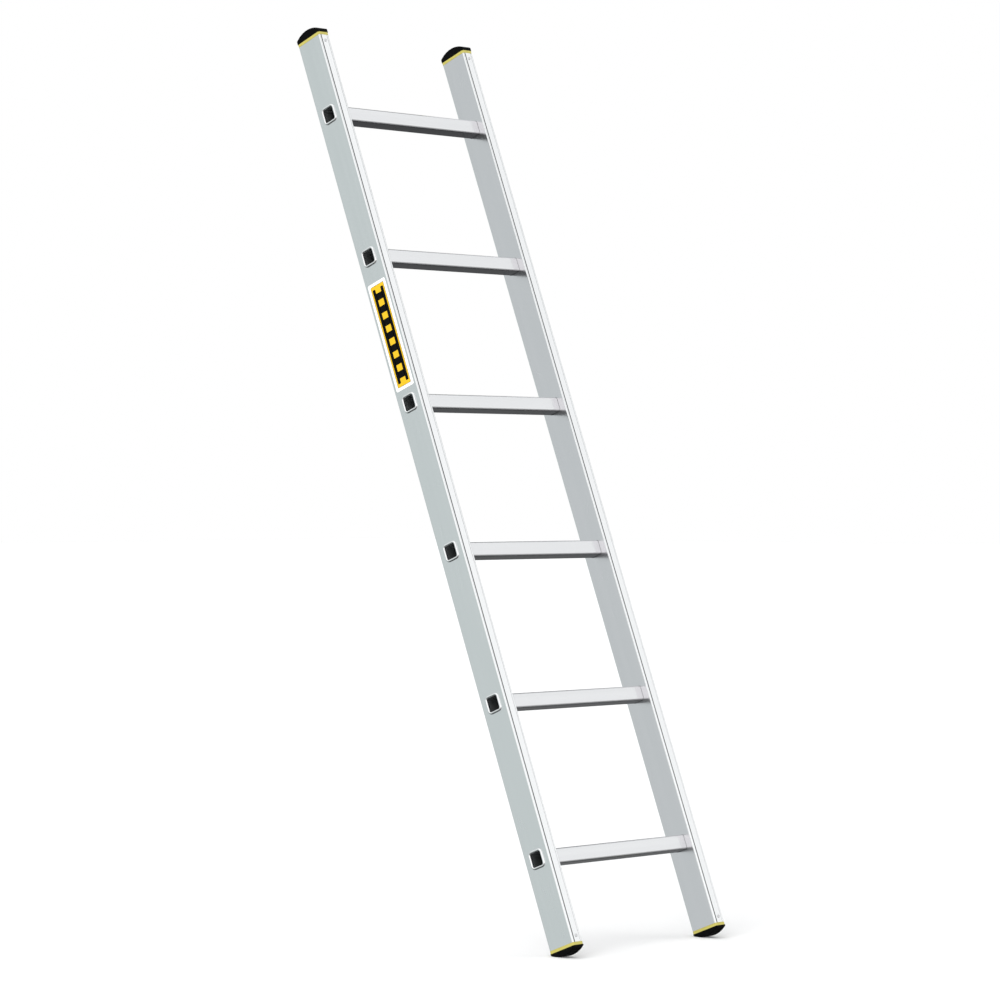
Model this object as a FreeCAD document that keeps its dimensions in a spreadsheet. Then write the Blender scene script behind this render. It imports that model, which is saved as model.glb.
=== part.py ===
import FreeCAD, Part
import math
import os
import Sketcher

# Single-section leaning ladder with six square rungs.
#
# Row frame: +X runs along the rungs, +Y points at the wall the ladder leans
# on, +Z is up. The ladder stands in its leaning pose: the line under the feet
# is at Z = 0, and the origin is on the floor, half way between the lowest and
# the highest end of the ladder.
#
# Ladder frame, used by every sub-part: origin half way between the two stiles'
# lower ends, X along the rungs, Z up the stiles, -Y the climber's side.

V = FreeCAD.Vector
Placement = FreeCAD.Placement
Rotation = FreeCAD.Rotation

doc = FreeCAD.newDocument("leaning_ladder")

# ---------------------------------------------------------------- dimensions
sheet = doc.addObject("Spreadsheet::Sheet", "Dimensions")
CELLS = [
    ("outer_width", 400.0, "over the outer faces of the two stiles"),
    ("stile_length", 1702.0, "aluminium length of one stile"),
    ("stile_face", 24.0, "front face of a stile, along X"),
    ("stile_depth", 58.0, "side face of a stile, along Y"),
    ("stile_wall", 1.6, "wall of the stile tube"),
    ("stile_corner", 3.0, "outer corner radius of the stile"),
    ("stile_corner_in", 1.4, "inner corner radius of the stile"),
    ("bead_groove_pos", 7.8, "groove centre from the middle of the front face"),
    ("bead_groove_rad", 0.9, "radius of the groove's round section"),
    ("bead_groove_off", 0.2, "groove centre outside the face"),
    ("bead_groove_lip", 0.25, "rounding of the groove's lips"),
    ("rung_count", 6.0, "number of rungs"),
    ("rung_pitch", 280.0, "rung to rung, centre to centre"),
    ("rung_first", 155.0, "lower end of the stile to the first rung's centre"),
    ("rung_side", 27.0, "side of the square rung tube"),
    ("rung_wall", 1.5, "wall of the rung tube"),
    ("rung_corner", 4.5, "outer corner radius of the rung"),
    ("rung_corner_in", 3.0, "inner corner radius of the rung"),
    ("rung_fit", 0.1, "gap round the rung in the stile's holes, per side"),
    ("tread_groove_pitch", 4.0, "pitch of the fine grooves in the tread"),
    ("tread_groove_width", 1.2, "width of a tread groove"),
    ("tread_groove_depth", 0.5, "depth of a tread groove"),
    ("flare_side", 33.0, "outer side of the rolled-over rung end"),
    ("flare_height", 2.4, "how far the rolled end stands off the stile"),
    ("flare_corner", 7.5, "corner radius of the rolled end"),
    ("flare_round", 1.2, "outer rounding of the rolled end"),
    ("flare_mouth", 1.8, "rounding into the rung's bore"),
    ("cap_over", 0.3, "how far a cap stands proud of the stile, per side"),
    ("flange_thick", 5.2, "thickness of the coloured flange"),
    ("flange_round", 0.8, "edge rounding of the flange"),
    ("plug_length", 40.0, "length of the plug inside the stile"),
    ("plug_fit", 0.15, "gap between plug and stile tube, per side"),
    ("plug_wall", 2.4, "wall of the plug"),
    ("plug_web", 2.0, "web across the plug"),
    ("plug_lead", 1.2, "lead-in chamfer on the plug's inner end"),
    ("dome_rise", 9.0, "rise of the rubber's dome over the stile's depth"),
    ("foot_side", 2.0, "straight side of a foot's sole, under its dome"),
    ("top_side", 7.0, "straight side of a top cap, under its dome"),
    ("sole_edge", 1.4, "rounding along the sole's two side edges"),
    ("sole_corner", 2.4, "rounding where side and dome meet"),
    ("sole_groove_step", 8.5, "angle between the sole's grip grooves"),
    ("sole_groove_width", 1.6, "width of a grip groove"),
    ("sole_groove_depth", 1.0, "depth of a grip groove"),
    ("rivet_pos", 11.0, "rivet centre from the end of the stile"),
    ("rivet_shank", 1.65, "radius of the rivet shank"),
    ("rivet_head", 3.0, "radius of the rivet head"),
    ("rivet_head_tall", 1.3, "height of the rivet head"),
    ("rivet_head_round", 0.9, "rounding of the rivet head"),
    ("rivet_core", 0.9, "radius of the open core in the head"),
    ("rivet_bulb", 2.4, "radius of the upset bulb behind the plug wall"),
    ("rivet_bulb_tall", 2.6, "length of the upset bulb"),
    ("rivet_fit", 0.05, "gap round the rivet shank"),
    ("label_wide", 45.0, "width of the label"),
    ("label_tall", 204.0, "height of the label"),
    ("label_thick", 0.25, "thickness of the label"),
    ("label_corner", 3.0, "corner radius of the label"),
    ("label_mid", 1125.0, "middle of the label above the stile's lower end"),
    ("lean_angle", 21.2, "lean away from the vertical, in degrees"),
]
dim = {}
for row, (name, value, note) in enumerate(CELLS, start=1):
    sheet.set("A%d" % row, note)
    sheet.set("B%d" % row, repr(value))
    sheet.setAlias("B%d" % row, name)
    dim[name] = value
doc.recompute()

LEAN = math.radians(dim["lean_angle"])
D = "Dimensions."

# The sole's dome is an arc over the flange's depth; its centre sets how high
# the stile's lower end stands above the floor in the leaning pose.
half_chord = dim["stile_depth"] / 2 + dim["cap_over"]
rise = dim["dome_rise"]
dome_r = (half_chord ** 2 + rise ** 2) / (2 * rise)
dome_c = dome_r - rise - dim["foot_side"] - dim["flange_thick"]
middle = (dim["stile_length"] + dim["top_side"] - dim["foot_side"]) / 2
BASE = V(0, -middle * math.sin(LEAN), dome_r - dome_c * math.cos(LEAN))
LEANING = Placement(BASE, Rotation(V(1, 0, 0), -dim["lean_angle"]))


# ------------------------------------------------------------------- helpers
def origin_item(body, role):
    for item in body.Origin.OriginFeatures:
        if item.Role == role:
            return item
    raise RuntimeError("no origin item " + role)


def new_body(name):
    body = doc.addObject("PartDesign::Body", name)
    body.Label = name
    return body


def new_sketch(body, name, role, offset=(0.0, 0.0, 0.0), bind=()):
    sketch = body.newObject("Sketcher::SketchObject", name)
    sketch.AttachmentSupport = [(origin_item(body, role), "")]
    sketch.MapMode = "FlatFace"
    sketch.AttachmentOffset = Placement(V(*offset), Rotation())
    for axis, formula in bind:
        sketch.setExpression("AttachmentOffset.Base." + axis, formula)
    return sketch


def tie(sketch, index, name, formula):
    sketch.renameConstraint(index, name)
    sketch.setExpression("Constraints." + name, formula)


def rounded_rect(sketch, tag, width, height, radius, f_width, f_height, f_radius):
    """A rounded rectangle centred on the sketch's origin, fully constrained."""
    x, y, r = width / 2, height / 2, radius
    first = sketch.GeometryCount
    up = V(0, 0, 1)
    line = lambda a, b: Part.LineSegment(V(a[0], a[1], 0), V(b[0], b[1], 0))
    arc = lambda cx, cy, a0, a1: Part.ArcOfCircle(
        Part.Circle(V(cx, cy, 0), up, r), math.radians(a0), math.radians(a1))
    sketch.addGeometry(line((-x + r, -y), (x - r, -y)), False)      # 0 bottom
    sketch.addGeometry(arc(x - r, -y + r, 270, 360), False)         # 1
    sketch.addGeometry(line((x, -y + r), (x, y - r)), False)        # 2 right
    sketch.addGeometry(arc(x - r, y - r, 0, 90), False)             # 3
    sketch.addGeometry(line((x - r, y), (-x + r, y)), False)        # 4 top
    sketch.addGeometry(arc(-x + r, y - r, 90, 180), False)          # 5
    sketch.addGeometry(line((-x, y - r), (-x, -y + r)), False)      # 6 left
    sketch.addGeometry(arc(-x + r, -y + r, 180, 270), False)        # 7
    g = [first + i for i in range(8)]
    C = Sketcher.Constraint
    for i in range(8):
        sketch.addConstraint(C("Tangent", g[i], 2, g[(i + 1) % 8], 1))
    sketch.addConstraint(C("Horizontal", g[0]))
    sketch.addConstraint(C("Horizontal", g[4]))
    sketch.addConstraint(C("Vertical", g[2]))
    sketch.addConstraint(C("Vertical", g[6]))
    for i in (3, 5, 7):
        sketch.addConstraint(C("Equal", g[1], g[i]))
    sketch.addConstraint(C("Symmetric", g[3], 3, g[7], 3, -1, 1))
    tie(sketch, sketch.addConstraint(C("Radius", g[1], r)), tag + "_r", f_radius)
    tie(sketch, sketch.addConstraint(C("DistanceX", g[6], 1, g[2], 1, width)),
        tag + "_w", f_width)
    tie(sketch, sketch.addConstraint(C("DistanceY", g[0], 1, g[4], 1, height)),
        tag + "_h", f_height)


def circle(sketch, tag, x, y, r, f_x, f_y, f_r):
    """A circle set out from the sketch's origin; f_x or f_y None is on the axis."""
    C = Sketcher.Constraint
    g = sketch.addGeometry(Part.Circle(V(x, y, 0), V(0, 0, 1), r), False)
    if f_x is None:
        sketch.addConstraint(C("PointOnObject", g, 3, -2))
    else:
        a, b = ((-1, 1), (g, 3)) if x > 0 else ((g, 3), (-1, 1))
        tie(sketch, sketch.addConstraint(C("DistanceX", a[0], a[1], b[0], b[1], abs(x))),
            tag + "_x", f_x)
    if f_y is None:
        sketch.addConstraint(C("PointOnObject", g, 3, -1))
    else:
        a, b = ((-1, 1), (g, 3)) if y > 0 else ((g, 3), (-1, 1))
        tie(sketch, sketch.addConstraint(C("DistanceY", a[0], a[1], b[0], b[1], abs(y))),
            tag + "_y", f_y)
    tie(sketch, sketch.addConstraint(C("Radius", g, r)), tag + "_r", f_r)


def rectangle(sketch, tag, x0, x1, y0, y1, f_wide, f_y0, f_y1):
    """A rectangle, symmetric about the sketch's vertical axis."""
    C = Sketcher.Constraint
    first = sketch.GeometryCount
    pts = [(x0, y0), (x1, y0), (x1, y1), (x0, y1)]
    for i in range(4):
        a, b = pts[i], pts[(i + 1) % 4]
        sketch.addGeometry(Part.LineSegment(V(a[0], a[1], 0), V(b[0], b[1], 0)), False)
    g = [first + i for i in range(4)]
    for i in range(4):
        sketch.addConstraint(C("Coincident", g[i], 2, g[(i + 1) % 4], 1))
    sketch.addConstraint(C("Horizontal", g[2]))
    sketch.addConstraint(C("Vertical", g[1]))
    sketch.addConstraint(C("Vertical", g[3]))
    sketch.addConstraint(C("Symmetric", g[0], 1, g[0], 2, -2))
    tie(sketch, sketch.addConstraint(C("DistanceX", g[0], 1, g[0], 2, x1 - x0)),
        tag + "_w", f_wide)
    for tagy, geo, y, formula in ((tag + "_y0", g[0], y0, f_y0), (tag + "_y1", g[2], y1, f_y1)):
        a, b = ((-1, 1), (geo, 1)) if y > 0 else ((geo, 1), (-1, 1))
        if y == 0:
            sketch.addConstraint(C("PointOnObject", geo, 1, -1))
        else:
            tie(sketch, sketch.addConstraint(
                C("DistanceY", a[0], a[1], b[0], b[1], abs(y))), tagy, formula)


def both_sides(feature):
    if hasattr(feature, "SideType"):
        feature.SideType = "Symmetric"
    else:
        feature.Midplane = True


def pad(body, name, sketch, formula, symmetric=False, back=False):
    feature = body.newObject("PartDesign::Pad", name)
    feature.Profile = sketch
    feature.Type = "Length"
    feature.setExpression("Length", formula)
    feature.Reversed = back
    if symmetric:
        both_sides(feature)
    return feature


def pocket(body, name, sketch, formula=None, symmetric=False, back=False):
    feature = body.newObject("PartDesign::Pocket", name)
    feature.Profile = sketch
    if formula is None:
        feature.Type = "ThroughAll"
    else:
        feature.Type = "Length"
        feature.setExpression("Length", formula)
    feature.Reversed = back
    if symmetric:
        both_sides(feature)
    return feature


def edge_names(shape, test):
    """Names of the edges whose middle point and box pass the test."""
    names = []
    for i, edge in enumerate(shape.Edges, start=1):
        mid = edge.valueAt((edge.FirstParameter + edge.LastParameter) / 2)
        if test(edge, mid):
            names.append("Edge%d" % i)
    return names


def dress(body, kind, name, base, names, prop, formula):
    feature = body.newObject("PartDesign::" + kind, name)
    feature.Base = (base, names)
    feature.setExpression(prop, formula)
    body.Tip = feature
    return feature


def near(a, b, tol=1e-3):
    return abs(a - b) < tol


SUBPARTS = []
VOLUME_STEPS = []


def keep(obj):
    SUBPARTS.append(obj)
    return obj


def shrinks(label, before, feature):
    """Note a cut, so that a cut that removed nothing is caught at the end."""
    VOLUME_STEPS.append((label, before, feature))


# -------------------------------------------------------------------- stiles
def make_stile(name, side):
    """Extruded box tube with a rounded bead beside each corner of its front
    and rear faces, six square holes through both side walls, and a rivet
    hole in the front wall near each end."""
    body = new_body(name)
    s = new_sketch(body, name + "_section", "XY_Plane")
    rounded_rect(s, "outer", dim["stile_face"], dim["stile_depth"], dim["stile_corner"],
                 D + "stile_face", D + "stile_depth", D + "stile_corner")
    rounded_rect(s, "inner", dim["stile_face"] - 2 * dim["stile_wall"],
                 dim["stile_depth"] - 2 * dim["stile_wall"], dim["stile_corner_in"],
                 D + "stile_face - 2 * " + D + "stile_wall",
                 D + "stile_depth - 2 * " + D + "stile_wall", D + "stile_corner_in")
    tube = pad(body, name + "_tube", s, D + "stile_length")
    doc.recompute()

    s = new_sketch(body, name + "_groove_section", "XY_Plane")
    gx, gy = dim["bead_groove_pos"], dim["stile_depth"] / 2 + dim["bead_groove_off"]
    for n, (sx, sy) in enumerate(((1, 1), (1, -1), (-1, 1), (-1, -1))):
        circle(s, "g%d" % n, sx * gx, sy * gy, dim["bead_groove_rad"],
               D + "bead_groove_pos",
               D + "stile_depth / 2 + " + D + "bead_groove_off", D + "bead_groove_rad")
    grooves = pocket(body, name + "_grooves", s, back=True)
    doc.recompute()
    shrinks(name + " grooves", tube, grooves)

    # The eight lips of the four grooves are slightly rounded.
    half = dim["stile_depth"] / 2
    lips = edge_names(grooves.Shape, lambda e, m: e.Length > dim["stile_length"] - 1
                      and near(abs(m.y), half) and near(abs(abs(m.x) - gx),
                      math.sqrt(dim["bead_groove_rad"] ** 2 - dim["bead_groove_off"] ** 2)))
    lipped = dress(body, "Fillet", name + "_groove_lips", grooves, lips, "Radius",
                   D + "bead_groove_lip")
    doc.recompute()

    s = new_sketch(body, name + "_rung_hole", "YZ_Plane",
                   (0, dim["rung_first"], 0), (("y", D + "rung_first"),))
    hole = dim["rung_side"] + 2 * dim["rung_fit"]
    rounded_rect(s, "hole", hole, hole, dim["rung_corner"] + dim["rung_fit"],
                 D + "rung_side + 2 * " + D + "rung_fit",
                 D + "rung_side + 2 * " + D + "rung_fit",
                 D + "rung_corner + " + D + "rung_fit")
    first_hole = pocket(body, name + "_first_hole", s, symmetric=True)
    doc.recompute()
    shrinks(name + " rung hole", lipped, first_hole)

    row = body.newObject("PartDesign::LinearPattern", name + "_rung_holes")
    row.Originals = [first_hole]
    row.Direction = (origin_item(body, "Z_Axis"), [""])
    row.Occurrences = int(dim["rung_count"])
    row.setExpression("Length", "(" + D + "rung_count - 1) * " + D + "rung_pitch")
    body.Tip = row
    doc.recompute()
    shrinks(name + " rung hole row", first_hole, row)

    s = new_sketch(body, name + "_rivet_marks", "XZ_Plane",
                   (0, 0, dim["stile_depth"] / 2), (("z", D + "stile_depth / 2"),))
    radius = dim["rivet_shank"] + dim["rivet_fit"]
    circle(s, "low", 0, dim["rivet_pos"], radius, None, D + "rivet_pos",
           D + "rivet_shank + " + D + "rivet_fit")
    circle(s, "high", 0, dim["stile_length"] - dim["rivet_pos"], radius, None,
           D + "stile_length - " + D + "rivet_pos", D + "rivet_shank + " + D + "rivet_fit")
    holes = pocket(body, name + "_rivet_holes", s, D + "stile_wall + 1")
    doc.recompute()
    shrinks(name + " rivet holes", row, holes)

    body.Tip = holes
    x = side * (dim["outer_width"] - dim["stile_face"]) / 2
    body.Placement = LEANING.multiply(Placement(V(x, 0, 0), Rotation()))
    return keep(body)


# --------------------------------------------------------------------- rungs
def make_rung(number):
    """Square tube with finely grooved tread, rolled over outside each stile."""
    name = "rung_%d" % number
    body = new_body(name)
    s = new_sketch(body, name + "_section", "YZ_Plane")
    rounded_rect(s, "outer", dim["rung_side"], dim["rung_side"], dim["rung_corner"],
                 D + "rung_side", D + "rung_side", D + "rung_corner")
    bore = dim["rung_side"] - 2 * dim["rung_wall"]
    rounded_rect(s, "inner", bore, bore, dim["rung_corner_in"],
                 D + "rung_side - 2 * " + D + "rung_wall",
                 D + "rung_side - 2 * " + D + "rung_wall", D + "rung_corner_in")
    tube = pad(body, name + "_tube", s, D + "outer_width + 2 * " + D + "flare_height",
               symmetric=True)
    doc.recompute()

    # Five fine grooves along the top face keep a shoe from slipping.
    s = new_sketch(body, name + "_tread_mark", "YZ_Plane",
                   (-2 * dim["tread_groove_pitch"], 0, 0),
                   (("x", "-2 * " + D + "tread_groove_pitch"),))
    rectangle(s, "tread", -dim["tread_groove_width"] / 2, dim["tread_groove_width"] / 2,
              dim["rung_side"] / 2 - dim["tread_groove_depth"], dim["rung_side"] / 2 + 1,
              D + "tread_groove_width",
              D + "rung_side / 2 - " + D + "tread_groove_depth", D + "rung_side / 2 + 1")
    cut = pocket(body, name + "_first_tread", s, symmetric=True)
    doc.recompute()
    shrinks(name + " tread groove", tube, cut)
    treads = body.newObject("PartDesign::LinearPattern", name + "_treads")
    treads.Originals = [cut]
    treads.Direction = (origin_item(body, "Y_Axis"), [""])
    treads.Occurrences = 5
    treads.setExpression("Length", "4 * " + D + "tread_groove_pitch")
    body.Tip = treads
    doc.recompute()
    shrinks(name + " tread grooves", cut, treads)

    # The rolled rim that locks the rung on the outside of each stile.
    s = new_sketch(body, name + "_rim_section", "YZ_Plane",
                   (0, 0, dim["outer_width"] / 2), (("z", D + "outer_width / 2"),))
    rounded_rect(s, "rim", dim["flare_side"], dim["flare_side"], dim["flare_corner"],
                 D + "flare_side", D + "flare_side", D + "flare_corner")
    rounded_rect(s, "bore", bore, bore, dim["rung_corner_in"],
                 D + "rung_side - 2 * " + D + "rung_wall",
                 D + "rung_side - 2 * " + D + "rung_wall", D + "rung_corner_in")
    rim = pad(body, name + "_rim", s, D + "flare_height")
    doc.recompute()
    rims = body.newObject("PartDesign::Mirrored", name + "_rims")
    rims.Originals = [rim]
    rims.MirrorPlane = (origin_item(body, "YZ_Plane"), [""])
    body.Tip = rims
    doc.recompute()

    end = dim["outer_width"] / 2 + dim["flare_height"]
    half_rim, half_bore = dim["flare_side"] / 2, bore / 2

    def on_end(e):
        box = e.BoundBox
        return near(abs(box.XMin), end) and near(abs(box.XMax), end)

    def reach(e):
        box = e.BoundBox
        return max(abs(box.YMin), abs(box.YMax), abs(box.ZMin), abs(box.ZMax))

    outer = edge_names(rims.Shape, lambda e, m: on_end(e) and near(reach(e), half_rim, 0.01))
    rolled = dress(body, "Fillet", name + "_rim_roll", rims, outer, "Radius",
                   D + "flare_round")
    doc.recompute()
    inner = edge_names(rolled.Shape, lambda e, m: on_end(e) and near(reach(e), half_bore, 0.01))
    mouth = dress(body, "Fillet", name + "_mouth", rolled, inner, "Radius",
                  D + "flare_mouth")
    doc.recompute()
    body.Tip = mouth
    z = dim["rung_first"] + (number - 1) * dim["rung_pitch"]
    body.Placement = LEANING.multiply(Placement(V(0, 0, z), Rotation()))
    return keep(body)


# ---------------------------------------------------------------------- caps
def at_end(top, side):
    """Placement of a piece made for the left stile's lower end."""
    x = side * (dim["outer_width"] - dim["stile_face"]) / 2
    if top:
        local = Placement(V(x, 0, dim["stile_length"]), Rotation(V(0, 1, 0), 180))
    else:
        local = Placement(V(x, 0, 0), Rotation())
    return LEANING.multiply(local)


def make_plug(name, top, side):
    """Moulded plug: a flange over the end of the stile, and a hollow insert
    with one web inside the tube."""
    body = new_body(name)
    s = new_sketch(body, name + "_flange_section", "XY_Plane")
    rounded_rect(s, "flange", dim["stile_face"] + 2 * dim["cap_over"],
                 dim["stile_depth"] + 2 * dim["cap_over"],
                 dim["stile_corner"] + dim["cap_over"],
                 D + "stile_face + 2 * " + D + "cap_over",
                 D + "stile_depth + 2 * " + D + "cap_over",
                 D + "stile_corner + " + D + "cap_over")
    flange = pad(body, name + "_flange", s, D + "flange_thick", back=True)
    doc.recompute()
    rim = edge_names(flange.Shape, lambda e, m: near(m.z, 0)
                     and near(e.BoundBox.ZMin, 0) and near(e.BoundBox.ZMax, 0))
    eased = dress(body, "Fillet", name + "_flange_edge", flange, rim, "Radius",
                  D + "flange_round")
    doc.recompute()

    inset = dim["stile_wall"] + dim["plug_fit"]
    f_inset = "(" + D + "stile_wall + " + D + "plug_fit)"
    s = new_sketch(body, name + "_insert_section", "XY_Plane",
                   (0, 0, -dim["flange_thick"] / 2), (("z", "-" + D + "flange_thick / 2"),))
    rounded_rect(s, "insert", dim["stile_face"] - 2 * inset, dim["stile_depth"] - 2 * inset,
                 dim["stile_corner_in"],
                 D + "stile_face - 2 * " + f_inset, D + "stile_depth - 2 * " + f_inset,
                 D + "stile_corner_in")
    insert = pad(body, name + "_insert", s, D + "plug_length + " + D + "flange_thick / 2")
    doc.recompute()

    hollow = inset + dim["plug_wall"]
    f_hollow = "(" + D + "stile_wall + " + D + "plug_fit + " + D + "plug_wall)"
    s = new_sketch(body, name + "_hollow_section", "XY_Plane",
                   (0, 0, dim["plug_length"]), (("z", D + "plug_length"),))
    rounded_rect(s, "hollow", dim["stile_face"] - 2 * hollow, dim["stile_depth"] - 2 * hollow,
                 1.0, D + "stile_face - 2 * " + f_hollow,
                 D + "stile_depth - 2 * " + f_hollow, "1")
    cup = pocket(body, name + "_hollow", s, D + "plug_length")
    doc.recompute()
    shrinks(name + " hollow", insert, cup)

    s = new_sketch(body, name + "_web_section", "XY_Plane")
    rounded_rect(s, "web", dim["stile_face"] - 2 * inset - 2, dim["plug_web"], 0.1,
                 D + "stile_face - 2 * " + f_inset + " - 2", D + "plug_web", "0.1")
    web = pad(body, name + "_web", s, D + "plug_length - 6")
    doc.recompute()

    tip_edges = edge_names(web.Shape, lambda e, m: near(e.BoundBox.ZMin, dim["plug_length"])
                           and near(e.BoundBox.ZMax, dim["plug_length"])
                           and (abs(m.x) > dim["stile_face"] / 2 - inset - 0.6
                                or abs(m.y) > dim["stile_depth"] / 2 - inset - 0.6))
    lead = dress(body, "Chamfer", name + "_lead_in", web, tip_edges, "Size", D + "plug_lead")
    doc.recompute()

    s = new_sketch(body, name + "_rivet_mark", "XZ_Plane",
                   (0, 0, dim["stile_depth"] / 2), (("z", D + "stile_depth / 2"),))
    circle(s, "rivet", 0, dim["rivet_pos"], dim["rivet_shank"] + dim["rivet_fit"],
           None, D + "rivet_pos", D + "rivet_shank + " + D + "rivet_fit")
    hole = pocket(body, name + "_rivet_hole", s,
                  D + "stile_wall + " + D + "plug_fit + " + D + "plug_wall + 0.5")
    doc.recompute()
    shrinks(name + " rivet hole", lead, hole)
    body.Tip = hole
    body.Placement = at_end(top, side)
    return keep(body)


def make_sole(name, top, side):
    """Rubber sole: a D-shaped dome across the stile's depth, with straight
    sides, shorter on a foot than on a top cap, and fine grip grooves."""
    body = new_body(name)
    side_cell = "top_side" if top else "foot_side"
    s = new_sketch(body, name + "_profile", "YZ_Plane",
                   (0, -dim["flange_thick"], 0), (("y", "-" + D + "flange_thick"),))
    side_h, c = dim[side_cell], half_chord
    centre_y = dome_r - rise - side_h
    ang = math.atan2(-side_h - centre_y, c)
    s.addGeometry(Part.LineSegment(V(-c, 0, 0), V(c, 0, 0)), False)             # 0
    s.addGeometry(Part.LineSegment(V(c, 0, 0), V(c, -side_h, 0)), False)        # 1
    s.addGeometry(Part.ArcOfCircle(Part.Circle(V(0, centre_y, 0), V(0, 0, 1), dome_r),
                                   math.pi - ang, 2 * math.pi + ang), False)    # 2
    s.addGeometry(Part.LineSegment(V(-c, -side_h, 0), V(-c, 0, 0)), False)      # 3
    C = Sketcher.Constraint
    s.addConstraint(C("Coincident", 0, 2, 1, 1))
    s.addConstraint(C("Coincident", 1, 2, 2, 2))
    s.addConstraint(C("Coincident", 2, 1, 3, 1))
    s.addConstraint(C("Coincident", 3, 2, 0, 1))
    s.addConstraint(C("Vertical", 1))
    s.addConstraint(C("Vertical", 3))
    s.addConstraint(C("PointOnObject", 0, 1, -1))
    s.addConstraint(C("Symmetric", 0, 1, 0, 2, -2))
    s.addConstraint(C("PointOnObject", 2, 3, -2))
    tie(s, s.addConstraint(C("DistanceX", 0, 1, 0, 2, 2 * c)), "chord",
        D + "stile_depth + 2 * " + D + "cap_over")
    tie(s, s.addConstraint(C("DistanceY", 1, 2, 1, 1, side_h)), "side", D + side_cell)
    f_c = "(" + D + "stile_depth / 2 + " + D + "cap_over)"
    f_rise = D + "dome_rise"
    f_r = "((" + f_c + " * " + f_c + " + " + f_rise + " * " + f_rise + ") / (2 * " + f_rise + "))"
    tie(s, s.addConstraint(C("Radius", 2, dome_r)), "dome", f_r)
    block = pad(body, name + "_block", s, D + "stile_face + 2 * " + D + "cap_over",
                symmetric=True)
    doc.recompute()

    top_z = -dim["flange_thick"]
    across = edge_names(block.Shape, lambda e, m: near(m.x, 0) and near(abs(m.y), half_chord)
                        and near(m.z, top_z - side_h))
    soft = dress(body, "Fillet", name + "_corners", block, across, "Radius",
                 D + "sole_corner")
    doc.recompute()
    half_x = dim["stile_face"] / 2 + dim["cap_over"]
    rim = edge_names(soft.Shape, lambda e, m: near(e.BoundBox.XMin, e.BoundBox.XMax)
                     and near(abs(m.x), half_x) and m.z < top_z - 0.05)
    round_ = dress(body, "Fillet", name + "_edges", soft, rim, "Radius", D + "sole_edge")
    doc.recompute()

    # Grip grooves run along the rung direction. One rib, not a groove, lies
    # on the line that touches the floor in the leaning pose.
    s = new_sketch(body, name + "_grip_mark", "YZ_Plane",
                   (0, centre_y - dim["flange_thick"], 0),
                   (("y", f_r + " - " + f_rise + " - " + D + side_cell + " - " + D + "flange_thick"),))
    rectangle(s, "grip", -dim["sole_groove_width"] / 2, dim["sole_groove_width"] / 2,
              -dome_r - 2, -dome_r + dim["sole_groove_depth"], D + "sole_groove_width",
              f_r + " + 2", f_r + " - " + D + "sole_groove_depth")
    first = pocket(body, name + "_first_grip", s, symmetric=True)
    doc.recompute()
    shrinks(name + " grip groove", round_, first)
    last = first
    for sign, tag in ((False, "forward"), (True, "back")):
        fan = body.newObject("PartDesign::PolarPattern", name + "_grips_" + tag)
        fan.Originals = [first]
        fan.Axis = (s, ["N_Axis"])
        fan.Reversed = sign
        fan.setExpression("Angle", "3 * " + D + "sole_groove_step")
        fan.Occurrences = 4
        body.Tip = fan
        doc.recompute()
        shrinks(name + " grip grooves " + tag, last, fan)
        last = fan
    body.Placement = at_end(top, side)
    return keep(body)


def make_rivet(name, top, side):
    """Blind rivet through the stile's front wall and the plug's wall: domed
    head outside, open core, upset bulb inside."""
    wall = "(" + D + "stile_wall + " + D + "plug_fit + " + D + "plug_wall)"

    def rod(tag, radius, height, depth):
        # axis along +Y from the front face inward; depth is where it starts
        item = doc.addObject("Part::Cylinder", name + "_" + tag)
        item.setExpression("Radius", radius)
        item.setExpression("Height", height)
        item.Placement = Placement(V(0, 0, dim["rivet_pos"]), Rotation(V(1, 0, 0), -90))
        item.setExpression("Placement.Base.y", "-" + D + "stile_depth / 2 + " + depth)
        item.setExpression("Placement.Base.z", D + "rivet_pos")
        return item

    head = rod("head", D + "rivet_head", D + "rivet_head_tall", "-1 * " + D + "rivet_head_tall")
    shank = rod("shank", D + "rivet_shank", wall, "0")
    bulb = rod("bulb", D + "rivet_bulb", D + "rivet_bulb_tall", wall)
    core = rod("core", D + "rivet_core", D + "rivet_head_tall + 1",
               "-1 * (" + D + "rivet_head_tall + 0.5)")
    doc.recompute()
    front = -dim["stile_depth"] / 2 - dim["rivet_head_tall"]
    crown = edge_names(head.Shape, lambda e, m: near(e.BoundBox.YMin, front)
                       and near(e.BoundBox.YMax, front))
    dome = doc.addObject("Part::Fillet", name + "_dome")
    dome.Base = head
    dome.Edges = [(int(n[4:]), dim["rivet_head_round"], dim["rivet_head_round"]) for n in crown]
    solid = doc.addObject("Part::MultiFuse", name + "_solid")
    solid.Shapes = [dome, shank, bulb]
    rivet = doc.addObject("Part::Cut", name)
    rivet.Base = solid
    rivet.Tool = core
    rivet.Label = name
    doc.recompute()
    shrinks(name + " core", solid, rivet)
    rivet.Placement = at_end(top, side)
    return keep(rivet)


def make_label():
    """Thin printed label on the outer face of the left stile."""
    name = "side_label"
    body = new_body(name)
    s = new_sketch(body, name + "_outline", "YZ_Plane")
    rounded_rect(s, "label", dim["label_wide"], dim["label_tall"], dim["label_corner"],
                 D + "label_wide", D + "label_tall", D + "label_corner")
    pad(body, name + "_film", s, D + "label_thick", back=True)
    doc.recompute()
    body.Placement = LEANING.multiply(
        Placement(V(-dim["outer_width"] / 2, 0, dim["label_mid"]), Rotation()))
    return keep(body)


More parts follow.
